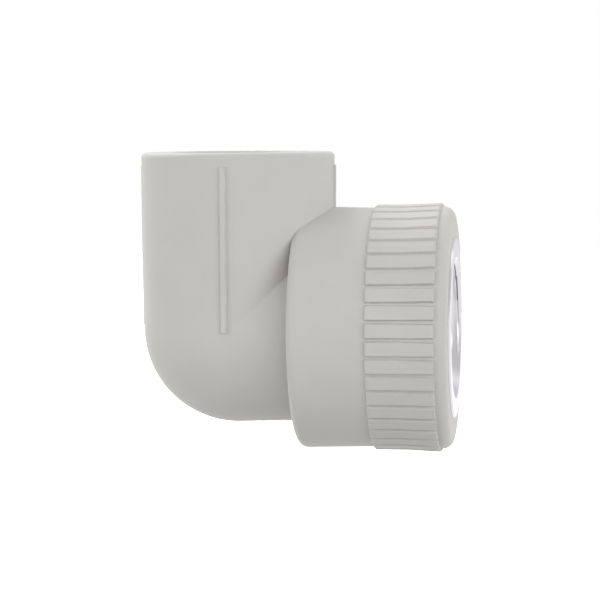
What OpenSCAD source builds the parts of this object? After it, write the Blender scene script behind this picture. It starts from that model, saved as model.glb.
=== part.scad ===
// Moulded elbow for welded plastic pipe, with a threaded metal insert.
// One leg is a socket that a pipe is welded into. The other leg grows into a
// round ring that is moulded around the insert.
// Millimetres, +Z up the socket, +X out of the threaded end. The origin is the
// centre of the pipe stop, where the end of a fully inserted pipe comes to lie.

/* [Pipe socket] */
// Outside diameter of the pipe
pipe_d = 20; // [18:0.5:21]
// How much narrower than the pipe the cold socket is, across the diameter
socket_bite = 0.6; // [0.3:0.1:0.9]
// Depth of the socket, from its mouth to the pipe stop
socket_depth = 14.5; // [12:0.5:16]
// Wall of the socket at its mouth
socket_wall = 5.08; // [4.5:0.02:5.6]
// Slope of the socket's outside, which narrows towards the bend
socket_draft = 0.4; // [0:0.1:1]
// Width of the chamfer that leads the pipe into the mouth
lead_in = 0.8; // [0.4:0.1:1.2]
// Radius of the mouth's outer edge
lip_round = 0.8; // [0.5:0.1:1.2]

/* [Bend] */
// Height of the socket's mouth above the axis of the threaded end
socket_reach = 26.8; // [25:0.2:30]
// Diameter of the waterway between the two ends
waterway_d = 15; // [12:0.5:16]
// Slope of the neck between the bend and the ring, which narrows outwards
neck_draft = 1.5; // [0:0.5:3]

/* [Alignment ribs] */
// Number of ribs around the socket
rib_count = 4; // [2:1:8]
// Width of a rib
rib_w = 0.9; // [0.6:0.1:1.5]
// Height of a rib above the socket's surface
rib_h = 0.32; // [0.2:0.02:0.6]
// Chamfer along a rib's edges
rib_edge = 0.1; // [0.05:0.05:0.15]
// Distance from the mouth to the top of the ribs
rib_top_gap = 2; // [1.5:0.1:4]
// Height of the ribs' lower ends above the axis of the threaded end
rib_foot = 0.2; // [0:0.1:2]

/* [Ring] */
// Distance from the socket's axis to the ring's shoulder
ring_start = 9.65; // [8.5:0.05:11]
// Diameter of the ring at its shoulder
ring_d = 36.9; // [36:0.1:39]
// Radius of the shoulder's outer edge
shoulder_round = 1.3; // [0.8:0.1:1.6]
// Slope of the smooth ring, which narrows towards the grip band
ring_draft = 1.1; // [0:0.1:1.5]
// Diameter of the plain nose in front of the grip band
nose_d = 36.8; // [36:0.1:39]
// Radius of the nose's outer edge
nose_round = 1.55; // [1:0.05:1.8]
// Distance from the socket's axis to the end face of the metal insert
thread_reach = 33.4; // [32.6:0.2:36]
// How far the insert stands out of the nose
insert_stand = 0.3; // [0.1:0.1:0.6]

/* [Grip band] */
// Number of raised lands around the ring
land_count = 44; // [30:1:52]
// Length of the lands along the ring
land_length = 10.1; // [8:0.1:11]
// Distance from the front end of the lands to the face of the nose
land_setback = 1.75; // [1.6:0.05:2.5]
// Height of the lands above the ring, at their back end
land_h = 0.45; // [0.3:0.05:0.7]
// Height of the lands above the nose, at their front end
land_front_h = 0.5; // [0.3:0.05:0.7]
// Radius of the lands' rounded ends
land_round = 0.32; // [0.15:0.01:0.4]
// Width of the valley between two lands, at its floor
valley_w = 0.28; // [0.2:0.02:0.6]
// Slope of the valley's walls, away from upright
valley_lean = 22; // [5:1:35]
// Turn of the band against the parting plane
band_turn = 1; // [-4:0.5:4]

/* [Thread insert] */
// Inner diameter of the pipe thread, at its crests
thread_minor_d = 18.631; // [17.8:0.001:18.8]
// Outer diameter of the pipe thread, at its roots
thread_major_d = 20.955; // [20.6:0.005:21.4]
// Length of the threaded bore, from the insert's face
thread_length = 15; // [12:0.5:15]
// How much wider than the thread the mouth's chamfer is, across the diameter
mouth_flare = 0.6; // [0.2:0.1:1]
// Diameter of the insert's face and front collar
collar_d = 27.4; // [26.6:0.1:28]
// Length of the front collar
collar_l = 4; // [3:0.1:4.5]
// Diameter of the two knurled bands
knurl_d = 28; // [27.4:0.1:28.6]
// Length of each knurled band
knurl_l = 4.4; // [3.8:0.1:4.6]
// Number of teeth around a knurled band
knurl_count = 36; // [24:1:42]
// Depth of the cuts between the teeth
knurl_depth = 0.6; // [0.3:0.1:0.8]
// Diameter at the bottom of the locking grooves
groove_d = 24.8; // [24.2:0.1:25.4]
// Width of each locking groove
groove_w = 1.4; // [1:0.1:1.6]
// Length of the plain collar at the insert's back end
back_collar_l = 2; // [1.6:0.1:2.4]
// Diameter of the plain collar at the insert's back end
back_collar_d = 26.4; // [25.8:0.1:27]
// Chamfer on the insert's outer edges
insert_edge = 0.25; // [0.1:0.05:0.4]

/* [Hidden] */
$fn = 96;

// How far a piece reaches into its neighbour, or a cut beyond a surface
bite = 0.6;

socket_r = (pipe_d - socket_bite) / 2;
lip_r = socket_r + socket_wall;
bend_r = lip_r - socket_reach * tan(socket_draft);
stop_z = socket_reach - socket_depth;
waterway_r = waterway_d / 2;

nose_x = thread_reach - insert_stand;
land_end = nose_x - land_setback;
land_start = land_end - land_length;
ring_r = ring_d / 2;
nose_r = nose_d / 2;
waist_r = ring_r - (land_start - ring_start) * tan(ring_draft);
land_back_r = waist_r + land_h;
land_front_r = nose_r + land_front_h;
land_bend_x = land_start + land_length / 2;

insert_l = collar_l + 3 * groove_w + 2 * knurl_l + back_collar_l;
insert_back = thread_reach - insert_l;
thread_minor_r = thread_minor_d / 2;
mouth_r = (thread_major_d + mouth_flare) / 2;

// Solids whose height runs along the threaded end's axis
module along_thread() rotate([0, 90, 0]) children();

// Corner of a profile, rounded: a disc whose centre is r inside both edges
module round_at(corner, r, inward = 1)
    translate([corner.x - r, corner.y + inward * r]) circle(r = r);

// Outside of the socket leg: a drafted barrel that ends in half a ball
module socket_profile() {
    polygon([
        [0, 0],
        [bend_r, 0],
        [lip_r, socket_reach - lip_round],
        [lip_r - lip_round, socket_reach],
        [0, socket_reach]
    ]);
    round_at([lip_r, socket_reach], lip_round, -1);
    intersection() {
        circle(r = bend_r);
        translate([0, -bend_r]) square(bend_r);
    }
}

// Outside of the threaded leg: neck, shoulder, smooth ring, waist and nose
module ring_profile() {
    polygon([
        [0, 0],
        [bend_r, 0],
        [bend_r - (ring_start + bite) * tan(neck_draft), ring_start + bite],
        [0, ring_start + bite]
    ]);
    polygon([
        [0, ring_start],
        [ring_r - shoulder_round, ring_start],
        [ring_r, ring_start + shoulder_round],
        [waist_r, land_start],
        [nose_r, land_end],
        [nose_r, nose_x - nose_round],
        [nose_r - nose_round, nose_x],
        [0, nose_x]
    ]);
    round_at([ring_r, ring_start], shoulder_round);
    round_at([nose_r, nose_x], nose_round, -1);
}

// A land cut along its length: round ends and a front half that flares
module land_profile() {
    polygon([
        [waist_r - bite, land_start],
        [land_back_r - land_round, land_start],
        [land_back_r, land_start + land_round],
        [land_back_r, land_bend_x],
        [land_front_r, land_end - land_round],
        [land_front_r - land_round, land_end],
        [waist_r - bite, land_end]
    ]);
    round_at([land_back_r, land_start], land_round);
    round_at([land_front_r, land_end], land_round, -1);
}

// The valley between two lands, seen along the ring
module valley_section() {
    foot = waist_r - bite / 2;
    top = max(land_back_r, land_front_r) + bite;
    lean = tan(valley_lean);
    foot_w = valley_w / 2;
    top_w = foot_w + (top - waist_r) * lean;
    polygon([
        [-foot_w, foot],
        [-foot_w, waist_r],
        [-top_w, top],
        [top_w, top],
        [foot_w, waist_r],
        [foot_w, foot]
    ]);
}

// The band of lands: a full collar, parted by the valleys
module grip_band() {
    pitch = 360 / land_count;
    intersection() {
        rotate_extrude() land_profile();
        translate([0, 0, land_start - bite]) linear_extrude(land_length + 2 * bite)
            difference() {
                circle(r = max(land_back_r, land_front_r) + bite / 2);
                for (k = [0 : land_count - 1])
                    rotate(band_turn + k * pitch) valley_section();
            }
    }
}

// One rib that helps to line the pipe up, leaning with the socket's draft
module alignment_rib() {
    half = rib_w / 2;
    length = socket_reach - rib_top_gap - rib_foot;
    translate([bend_r + rib_foot * tan(socket_draft), 0, rib_foot])
        rotate([0, socket_draft, 0])
            linear_extrude(length)
                polygon([
                    [-bite, -half],
                    [rib_h - rib_edge, -half],
                    [rib_h, rib_edge - half],
                    [rib_h, half - rib_edge],
                    [rib_h - rib_edge, half],
                    [-bite, half]
                ]);
}

// The pipe's bore, its lead-in chamfer and the waterway round the bend
module socket_core() {
    rotate_extrude() {
        polygon([
            [0, 0],
            [waterway_r, 0],
            [waterway_r, stop_z],
            [socket_r, stop_z],
            [socket_r, socket_reach - lead_in],
            [socket_r + lead_in + bite, socket_reach + bite],
            [0, socket_reach + bite]
        ]);
        intersection() {
            circle(r = waterway_r);
            translate([0, -waterway_r]) square(waterway_r);
        }
    }
    along_thread() cylinder(r = waterway_r, h = insert_back + bite);
}

// Outline of one knurled band, seen along the insert
module knurl_section() {
    root = knurl_d / 2 - knurl_depth;
    half = knurl_depth * tan(30);
    difference() {
        circle(d = knurl_d);
        for (k = [0 : knurl_count - 1])
            rotate(k * 360 / knurl_count)
                polygon([
                    [root, 0],
                    [knurl_d / 2 + knurl_depth, 2 * half],
                    [knurl_d / 2 + knurl_depth, -2 * half]
                ]);
    }
}

// The insert's solid outside, which also shapes its seat in the plastic
module insert_outside() {
    core_x = insert_back + back_collar_l;
    along_thread() {
        translate([0, 0, insert_back]) {
            cylinder(d1 = back_collar_d - 2 * insert_edge, d2 = back_collar_d, h = insert_edge);
            translate([0, 0, insert_edge]) cylinder(d = back_collar_d, h = back_collar_l - insert_edge);
        }
        translate([0, 0, core_x]) cylinder(d = groove_d, h = insert_l - back_collar_l - collar_l);
        for (k = [0, 1])
            translate([0, 0, core_x + groove_w + k * (knurl_l + groove_w)])
                linear_extrude(knurl_l) knurl_section();
        translate([0, 0, thread_reach - collar_l]) cylinder(d = collar_d, h = collar_l - insert_edge);
        translate([0, 0, thread_reach - insert_edge])
            cylinder(d1 = collar_d, d2 = collar_d - 2 * insert_edge, h = insert_edge);
    }
}

// The threaded bore at its crests, with a chamfered mouth and a sloped end
module insert_bore() {
    mouth_l = mouth_r - thread_minor_r;
    step_l = thread_minor_r - waterway_r;
    along_thread() rotate_extrude() polygon([
        [0, insert_back - bite],
        [waterway_r, insert_back - bite],
        [waterway_r, thread_reach - thread_length - step_l],
        [thread_minor_r, thread_reach - thread_length],
        [thread_minor_r, thread_reach - mouth_l],
        [mouth_r + bite, thread_reach + bite],
        [0, thread_reach + bite]
    ]);
}

module elbow_body() color("#c2bfb9")
    translate([0, 0, -stop_z]) difference() {
        union() {
            rotate_extrude() socket_profile();
            along_thread() rotate_extrude() ring_profile();
            along_thread() grip_band();
            for (k = [0 : rib_count - 1]) rotate(k * 360 / rib_count) alignment_rib();
        }
        socket_core();
        insert_outside();
    }

module thread_insert() color("#c9c7cb")
    translate([0, 0, -stop_z]) difference() {
        insert_outside();
        insert_bore();
    }

elbow_body();
thread_insert();
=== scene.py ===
import math

import bpy
import numpy as np
from mathutils import Matrix, Vector


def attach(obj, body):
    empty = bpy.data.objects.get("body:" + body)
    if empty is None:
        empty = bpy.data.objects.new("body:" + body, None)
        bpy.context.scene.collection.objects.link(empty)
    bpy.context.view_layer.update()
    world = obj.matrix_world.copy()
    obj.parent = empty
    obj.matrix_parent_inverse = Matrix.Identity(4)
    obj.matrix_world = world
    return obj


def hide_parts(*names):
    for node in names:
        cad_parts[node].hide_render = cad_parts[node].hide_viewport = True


MM = 0.001
TAU = 2 * math.pi

# Sizes repeated from the part's source, in millimetres
STOP_Z = 12.3
SOCKET_REACH = 26.8
THREAD_REACH = 33.4
INSERT_BACK = 14.4
WATERWAY_R = 7.5
CREST_R = 9.3155
ROOT_R = 10.4775
PITCH = 1.814
THREAD_LENGTH = 15
MOUTH_R = 10.7775
COLLAR_R = 13.7
COLLAR_L = 4
KNURL_R = 14
KNURL_L = 4.4
KNURL_COUNT = 36
KNURL_DEPTH = 0.6
GROOVE_R = 12.4
GROOVE_W = 1.4
BACK_COLLAR_R = 13.2
BACK_COLLAR_L = 2
EDGE = 0.25

# The room, in metres
PART_MIDDLE = (0.009, 0, -0.008)
LAMP_SIZE = 0.8
LAMP_DISTANCE = 1.3


def make_mesh(name, points, faces, body="root", sharp=35):
    """A mesh object at the origin from points in millimetres, smooth up to a
    sharp angle, riding on the part."""
    mesh = bpy.data.meshes.new(name)
    mesh.from_pydata((points * MM).tolist(), [], faces.tolist())
    mesh.update()
    mesh.polygons.foreach_set("use_smooth", [True] * len(mesh.polygons))
    mesh.set_sharp_from_angle(angle=math.radians(sharp))
    piece = bpy.data.objects.new(name, mesh)
    bpy.context.scene.collection.objects.link(piece)
    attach(piece, body)
    return piece


def ring_faces(rows, columns, closed_rows):
    """Quads of a grid whose columns close round, and whose rows may too."""
    last = rows if closed_rows else rows - 1
    i, j = np.meshgrid(np.arange(last), np.arange(columns), indexing="ij")
    i2, j2 = (i + 1) % rows, (j + 1) % columns
    quads = np.stack([i * columns + j, i * columns + j2, i2 * columns + j2, i2 * columns + j], -1)
    return quads.reshape(-1, 4)


def thread_radius(x, turn):
    """Radius of the pipe thread at distance x from the insert's face: a rounded
    55 degree wave between crest and root that moves one pitch in each turn and
    dies out over the last turn and a half."""
    phase = (x / PITCH + turn) % 1
    wave = 1 - 4 * np.abs(phase - 0.5)
    wave = wave * (1.5 - 0.5 * wave**2)
    depth = np.clip((THREAD_LENGTH - 0.4 - x) / (1.5 * PITCH), 0, 1)
    depth = depth * depth * (3 - 2 * depth)
    return CREST_R + (ROOT_R - CREST_R) * (0.5 + 0.5 * wave) * depth


def knurl_radius(turn):
    """Radius of a knurled band: V cuts, evenly spaced round the insert."""
    tooth = np.abs((turn * KNURL_COUNT + 0.5) % 1 - 0.5) * TAU * KNURL_R / KNURL_COUNT
    return KNURL_R - np.maximum(0, KNURL_DEPTH - tooth / math.tan(math.radians(30)))


def metal_insert():
    """The insert as one closed ring of rows: from its back edge along the
    knurled outside to the face, in through the chamfered mouth and down the
    threaded bore. Each row is (x, radius round the turn)."""
    columns = 216
    turn = np.arange(columns) / columns
    flat = np.ones(columns)
    knurl = knurl_radius(turn)
    core = INSERT_BACK + BACK_COLLAR_L
    rows = [
        (INSERT_BACK, flat * (BACK_COLLAR_R - EDGE)),
        (INSERT_BACK + EDGE, flat * BACK_COLLAR_R),
        (core, flat * BACK_COLLAR_R),
        (core, flat * GROOVE_R),
    ]
    for k in range(2):
        start = core + GROOVE_W + k * (KNURL_L + GROOVE_W)
        rows += [
            (start, flat * GROOVE_R),
            (start, knurl),
            (start + KNURL_L, knurl),
            (start + KNURL_L, flat * GROOVE_R),
        ]
    rows += [
        (THREAD_REACH - COLLAR_L, flat * GROOVE_R),
        (THREAD_REACH - COLLAR_L, flat * COLLAR_R),
        (THREAD_REACH - EDGE, flat * COLLAR_R),
        (THREAD_REACH, flat * (COLLAR_R - EDGE)),
        (THREAD_REACH, flat * (MOUTH_R + 1.2)),
        (THREAD_REACH, flat * MOUTH_R),
    ]
    steps = int(THREAD_LENGTH / PITCH * 18)
    for depth in np.linspace(0, THREAD_LENGTH, steps + 1)[1:]:
        bore = np.maximum(thread_radius(depth, turn), MOUTH_R - depth)
        rows.append((THREAD_REACH - depth, bore))
    step = CREST_R - WATERWAY_R
    rows += [
        (THREAD_REACH - THREAD_LENGTH - step, flat * WATERWAY_R),
        (INSERT_BACK, flat * WATERWAY_R),
    ]
    x = np.array([row[0] for row in rows])[:, None] * flat
    r = np.array([row[1] for row in rows])
    angle = turn * TAU
    points = np.stack([x, r * np.sin(angle), r * np.cos(angle) - STOP_Z], -1).reshape(-1, 3)
    faces = ring_faces(len(rows), columns, True)
    return make_mesh("insert_metal", points, faces)


def shader(name):
    material = bpy.data.materials.new(name)
    material.use_nodes = True
    nodes = material.node_tree.nodes
    return material, nodes, material.node_tree.links, nodes["Principled BSDF"]


def add(nodes, kind, **values):
    node = nodes.new(kind)
    for key, value in values.items():
        if key in node.inputs:
            node.inputs[key].default_value = value
        else:
            setattr(node, key, value)
    return node


def moulded_plastic():
    """Warm light grey pipe plastic: satin, with a fine moulded grain, faint
    clouds in its colour and slightly rounded edges."""
    material, nodes, links, surface = shader("moulded_plastic")
    where = nodes.new("ShaderNodeTexCoord").outputs["Object"]
    clouds = add(nodes, "ShaderNodeTexNoise", Scale=140.0, Detail=3.0, Roughness=0.55)
    tint = add(nodes, "ShaderNodeValToRGB")
    tint.color_ramp.elements[0].position = 0.3
    tint.color_ramp.elements[0].color = (0.535, 0.522, 0.492, 1)
    tint.color_ramp.elements[1].position = 0.7
    tint.color_ramp.elements[1].color = (0.555, 0.543, 0.513, 1)
    grain = add(nodes, "ShaderNodeTexNoise", Scale=5200.0, Detail=2.0, Roughness=0.5)
    bump = add(nodes, "ShaderNodeBump", Strength=0.25, Distance=0.00003)
    edge = add(nodes, "ShaderNodeBevel", samples=6, Radius=0.00012)
    sheen = add(nodes, "ShaderNodeMapRange")
    sheen.inputs["To Min"].default_value = 0.52
    sheen.inputs["To Max"].default_value = 0.62
    for pattern in (clouds, grain):
        links.new(where, pattern.inputs["Vector"])
    links.new(clouds.outputs["Fac"], tint.inputs["Fac"])
    links.new(tint.outputs["Color"], surface.inputs["Base Color"])
    links.new(clouds.outputs["Fac"], sheen.inputs["Value"])
    links.new(sheen.outputs["Result"], surface.inputs["Roughness"])
    links.new(edge.outputs["Normal"], bump.inputs["Normal"])
    links.new(grain.outputs["Fac"], bump.inputs["Height"])
    links.new(bump.outputs["Normal"], surface.inputs["Normal"])
    surface.inputs["IOR"].default_value = 1.49
    surface.inputs["Specular IOR Level"].default_value = 0.3
    return material


def plated_metal():
    """Bright nickel on brass, with fine turning marks round the axis."""
    material, nodes, links, surface = shader("plated_metal")
    where = nodes.new("ShaderNodeTexCoord").outputs["Object"]
    centre = add(nodes, "ShaderNodeMapping")
    centre.inputs["Location"].default_value = (0, 0, STOP_Z * MM)
    centre.inputs["Scale"].default_value = (0.15, 1, 1)
    rings = add(nodes, "ShaderNodeTexWave", wave_type="RINGS", rings_direction="X")
    rings.inputs["Scale"].default_value = 900.0
    rings.inputs["Distortion"].default_value = 0.6
    spots = add(nodes, "ShaderNodeTexNoise", Scale=420.0, Detail=3.0)
    bump = add(nodes, "ShaderNodeBump", Strength=0.15, Distance=0.00002)
    rough = add(nodes, "ShaderNodeMapRange")
    rough.inputs["To Min"].default_value = 0.22
    rough.inputs["To Max"].default_value = 0.4
    links.new(where, centre.inputs["Vector"])
    links.new(centre.outputs["Vector"], rings.inputs["Vector"])
    links.new(where, spots.inputs["Vector"])
    links.new(rings.outputs["Fac"], bump.inputs["Height"])
    links.new(bump.outputs["Normal"], surface.inputs["Normal"])
    links.new(spots.outputs["Fac"], rough.inputs["Value"])
    links.new(rough.outputs["Result"], surface.inputs["Roughness"])
    surface.inputs["Metallic"].default_value = 1.0
    surface.inputs["Base Color"].default_value = (0.47, 0.455, 0.475, 1)
    return material


def seen_directly(nodes):
    """1 where a camera, mirror or glass ray meets the surface, otherwise 0."""
    path = nodes.new("ShaderNodeLightPath")
    total = path.outputs["Is Camera Ray"]
    for name in ("Is Glossy Ray", "Is Transmission Ray"):
        plus = nodes.new("ShaderNodeMath")
        plus.operation = "MAXIMUM"
        nodes.id_data.links.new(total, plus.inputs[0])
        nodes.id_data.links.new(path.outputs[name], plus.inputs[1])
        total = plus.outputs[0]
    return total


def studio(world_level, lamps):
    """A white room: the world shows white and lights the part evenly, and soft
    round lamps stand about it, each (name, bearing, height, power) in degrees
    and watts."""
    world = bpy.data.worlds.new("white_room")
    bpy.context.scene.world = world
    world.use_nodes = True
    nodes, links = world.node_tree.nodes, world.node_tree.links
    nodes.clear()
    shown = add(nodes, "ShaderNodeBackground", Color=(1, 1, 1, 1), Strength=1.0)
    light = add(nodes, "ShaderNodeBackground", Color=(1, 1, 1, 1), Strength=world_level)
    mix = nodes.new("ShaderNodeMixShader")
    out = nodes.new("ShaderNodeOutputWorld")
    links.new(seen_directly(nodes), mix.inputs["Fac"])
    links.new(light.outputs[0], mix.inputs[1])
    links.new(shown.outputs[0], mix.inputs[2])
    links.new(mix.outputs[0], out.inputs["Surface"])
    for name, bearing, height, power in lamps:
        a, e = math.radians(bearing), math.radians(height)
        away = Vector((math.sin(a) * math.cos(e), -math.cos(a) * math.cos(e), math.sin(e)))
        data = bpy.data.lights.new(name, "AREA")
        data.shape = "DISK"
        data.size = LAMP_SIZE
        data.energy = power
        lamp = bpy.data.objects.new(name, data)
        bpy.context.scene.collection.objects.link(lamp)
        lamp.location = Vector(PART_MIDDLE) + away * LAMP_DISTANCE
        lamp.rotation_euler = (-away).to_track_quat("-Z", "Y").to_euler()


def pale_floor(height, size=3.0):
    """A plain pale floor below the part. To the camera it is white and keeps
    the part's shadow; to the part it is a duller ground."""
    half = size / 2
    corners = [
        (-half, -half, height),
        (half, -half, height),
        (half, half, height),
        (-half, half, height),
    ]
    mesh = bpy.data.meshes.new("floor")
    mesh.from_pydata(corners, [], [(0, 1, 2, 3)])
    floor = bpy.data.objects.new("floor", mesh)
    bpy.context.scene.collection.objects.link(floor)
    material = bpy.data.materials.new("pale_floor")
    material.use_nodes = True
    nodes, links = material.node_tree.nodes, material.node_tree.links
    nodes.clear()
    dull = add(nodes, "ShaderNodeBsdfDiffuse", Color=(0.45, 0.45, 0.45, 1))
    bright = add(nodes, "ShaderNodeBsdfDiffuse", Color=(0.85, 0.85, 0.85, 1))
    lift = add(nodes, "ShaderNodeEmission", Color=(1, 1, 1, 1), Strength=0.6)
    both = nodes.new("ShaderNodeAddShader")
    mix = nodes.new("ShaderNodeMixShader")
    out = nodes.new("ShaderNodeOutputMaterial")
    links.new(bright.outputs[0], both.inputs[0])
    links.new(lift.outputs[0], both.inputs[1])
    links.new(seen_directly(nodes), mix.inputs["Fac"])
    links.new(dull.outputs[0], mix.inputs[1])
    links.new(both.outputs[0], mix.inputs[2])
    links.new(mix.outputs[0], out.inputs["Surface"])
    floor.data.materials.append(material)
    return floor


def front_camera():
    """The camera of the photograph: 7.8 degrees to the right, 4.35 above."""
    turn, rise, roll = math.radians(7.8), math.radians(4.35), math.radians(-0.36)
    pixel = 0.000154
    distance, across, up = 2340 * pixel, -60.45 * pixel, -26.2 * pixel
    back = Vector((math.sin(turn) * math.cos(rise), -math.cos(turn) * math.cos(rise), math.sin(rise)))
    side = Vector((math.cos(turn), math.sin(turn), 0))
    top = Vector((-math.sin(turn) * math.sin(rise), math.cos(turn) * math.sin(rise), math.cos(rise)))
    right = side * math.cos(roll) + top * math.sin(roll)
    above = top * math.cos(roll) - side * math.sin(roll)
    place = Vector((0, 0, -STOP_Z * MM)) + back * distance - right * across - above * up
    data = bpy.data.cameras.new("front")
    data.sensor_width = 36
    data.lens = 140.4
    data.clip_start = 0.01
    data.clip_end = 20
    camera = bpy.data.objects.new("front", data)
    matrix = Matrix((right, above, back)).transposed().to_4x4()
    matrix.translation = place
    camera.matrix_world = matrix
    bpy.context.scene.collection.objects.link(camera)
    bpy.context.scene.camera = camera


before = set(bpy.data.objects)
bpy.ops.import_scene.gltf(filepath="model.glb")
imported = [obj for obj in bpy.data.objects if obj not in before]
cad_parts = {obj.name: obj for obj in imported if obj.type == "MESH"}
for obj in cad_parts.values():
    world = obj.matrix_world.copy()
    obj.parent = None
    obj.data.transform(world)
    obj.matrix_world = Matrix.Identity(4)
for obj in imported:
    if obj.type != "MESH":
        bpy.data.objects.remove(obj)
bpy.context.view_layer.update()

front_camera()
pale_floor(-0.085)
studio(0.5, [
    ("left_softbox", 300, 10, 6.5),
    ("right_softbox", 60, 10, 5.7),
    ("front_right_softbox", 30, 10, 3.5),
    ("back_left_softbox", 225, 45, 10.3),
    ("back_right_softbox", 135, 45, 2.5),
    ("back_softbox", 180, 45, 1.3),
])

plastic = moulded_plastic()
metal = plated_metal()

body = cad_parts["elbow_body"]
body.material_slots[0].material = plastic

insert = metal_insert()
insert.data.materials.append(metal)
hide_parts("thread_insert")

scene = bpy.context.scene
scene.view_settings.view_transform = "Standard"
